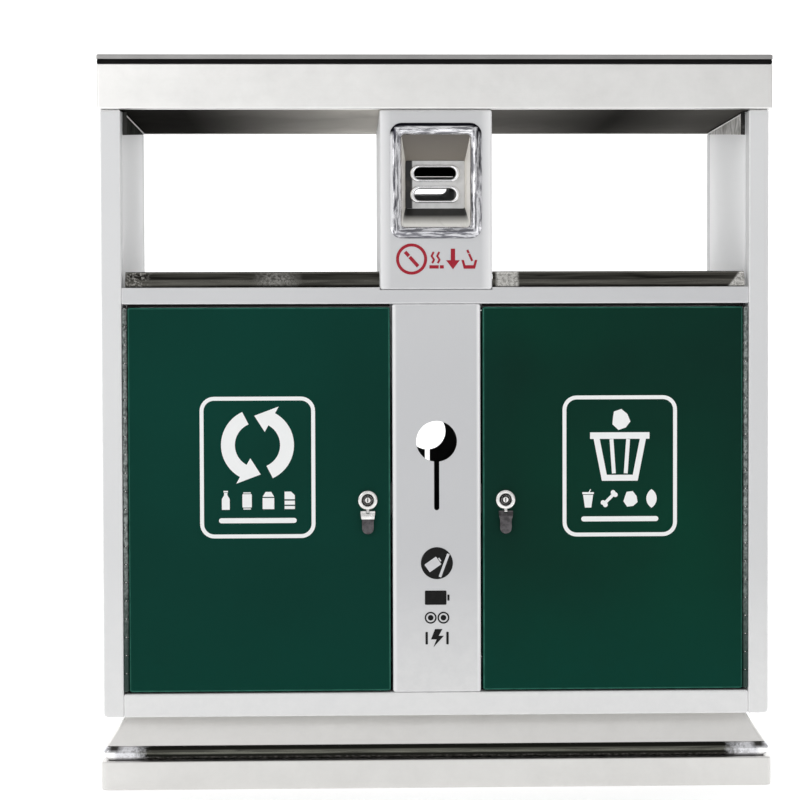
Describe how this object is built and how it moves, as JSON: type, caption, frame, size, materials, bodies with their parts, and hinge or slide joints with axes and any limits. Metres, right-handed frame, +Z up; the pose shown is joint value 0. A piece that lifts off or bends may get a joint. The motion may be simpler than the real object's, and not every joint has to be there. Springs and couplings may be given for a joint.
{
  "type": "recycling bin station",
  "caption": "Free-standing street recycling station with throw-in windows, lockable green doors, ashtrays and a battery drop hole, in a steel body on a flared plinth.",
  "frame": {"origin": "on the ground under the middle of the station", "axes": "+Z up, +X to the right of a person facing the doors, +Y from the doors to the rear"},
  "size_m": [0.9, 0.35, 0.98],
  "materials": {
    "brushed_stainless": "brushed",
    "polished_stainless": "polished",
    "silver_paint": "satin powder coat",
    "green_paint": "satin powder coat",
    "galvanised": "galvanised",
    "zinc_lock": "bright plated",
    "black_rubber": "matt"
  },
  "bodies": {
    "station": {"plinth": "brushed_stainless", "cap_fascia": "brushed_stainless", "cap_top": "brushed_stainless", "eaves_gusset_left": "polished_stainless", "eaves_gusset_right": "polished_stainless", "sill_guard_front_left": "polished_stainless", "sill_guard_front_right": "polished_stainless", "sill_guard_rear_left": "polished_stainless", "sill_guard_rear_right": "polished_stainless", "post_front_left": "silver_paint", "post_front_right": "silver_paint", "post_rear_left": "silver_paint", "post_rear_right": "silver_paint", "side_panel_left": "silver_paint", "side_panel_right": "silver_paint", "window_liner_left": "silver_paint", "window_liner_right": "silver_paint", "bottom_rail_front": "silver_paint", "bottom_rail_rear": "silver_paint", "mid_rail_front": "silver_paint", "mid_rail_rear": "silver_paint", "column_panel_front": "silver_paint", "column_panel_rear": "silver_paint", "ashtray_panel_front": "silver_paint", "ashtray_panel_rear": "silver_paint", "column_cheek_left": "silver_paint", "column_cheek_right": "silver_paint", "rear_panel_left": "green_paint", "rear_panel_right": "green_paint", "partition_left": "galvanised", "partition_right": "galvanised", "floor_pan": "galvanised", "hinge_leaf_frame_left": "galvanised", "hinge_leaf_frame_right": "galvanised", "lock_keeper_left": "galvanised", "lock_keeper_right": "galvanised", "bucket_left": "galvanised", "bucket_right": "galvanised", "battery_box": "galvanised", "hinge_pin_left": "zinc_lock", "hinge_pin_right": "zinc_lock", "cap_seam_strip": "black_rubber"},
    "left_door": {"door_skin_left": "green_paint", "door_stiffener_left": "galvanised", "hinge_leaf_door_left": "galvanised", "lock_body_left": "zinc_lock"},
    "left_lock": {"lock_plug_left": "zinc_lock", "lock_cam_left": "zinc_lock"},
    "left_flap": {"lock_flap_left": "zinc_lock"},
    "left_bail": {"bail_left": "galvanised"},
    "right_door": {"door_skin_right": "green_paint", "door_stiffener_right": "galvanised", "hinge_leaf_door_right": "galvanised", "lock_body_right": "zinc_lock"},
    "right_lock": {"lock_plug_right": "zinc_lock", "lock_cam_right": "zinc_lock"},
    "right_flap": {"lock_flap_right": "zinc_lock"},
    "right_bail": {"bail_right": "galvanised"},
    "front_ashtray": {"ashtray_insert_front": "polished_stainless"},
    "rear_ashtray": {"ashtray_insert_rear": "polished_stainless"}
  },
  "joints": [
    {"name": "left_door_hinge", "type": "hinge", "parent": "station", "child": "left_door", "pos_m": [-0.4163, -0.1618, 0.387], "axis": [0, 0, -1], "range_deg": [0, 110]},
    {"name": "left_lock_turn", "type": "hinge", "parent": "left_door", "child": "left_lock", "pos_m": [-0.0925, -0.155, 0.386], "axis": [0, -1, 0], "range_deg": [0, 90]},
    {"name": "left_flap_hinge", "type": "hinge", "parent": "left_door", "child": "left_flap", "pos_m": [-0.0925, -0.1697, 0.3708], "axis": [-1, 0, 0], "range_deg": [0, 178]},
    {"name": "left_bail_hinge", "type": "hinge", "parent": "station", "child": "left_bail", "pos_m": [-0.2395, 0, 0.565], "axis": [-1, 0, 0], "range_deg": [0, 178]},
    {"name": "right_door_hinge", "type": "hinge", "parent": "station", "child": "right_door", "pos_m": [0.4163, -0.1618, 0.387], "axis": [0, 0, 1], "range_deg": [0, 110]},
    {"name": "right_lock_turn", "type": "hinge", "parent": "right_door", "child": "right_lock", "pos_m": [0.0925, -0.155, 0.386], "axis": [0, 1, 0], "range_deg": [0, 90]},
    {"name": "right_flap_hinge", "type": "hinge", "parent": "right_door", "child": "right_flap", "pos_m": [0.0925, -0.1697, 0.3708], "axis": [-1, 0, 0], "range_deg": [0, 178]},
    {"name": "right_bail_hinge", "type": "hinge", "parent": "station", "child": "right_bail", "pos_m": [0.2395, 0, 0.565], "axis": [-1, 0, 0], "range_deg": [0, 178]},
    {"name": "front_ashtray_slide", "type": "slide", "parent": "station", "child": "front_ashtray", "axis": [0, -1, 0], "range_m": [0, 0.11]},
    {"name": "rear_ashtray_slide", "type": "slide", "parent": "station", "child": "rear_ashtray", "axis": [0, 1, 0], "range_m": [0, 0.11]}
  ]
}
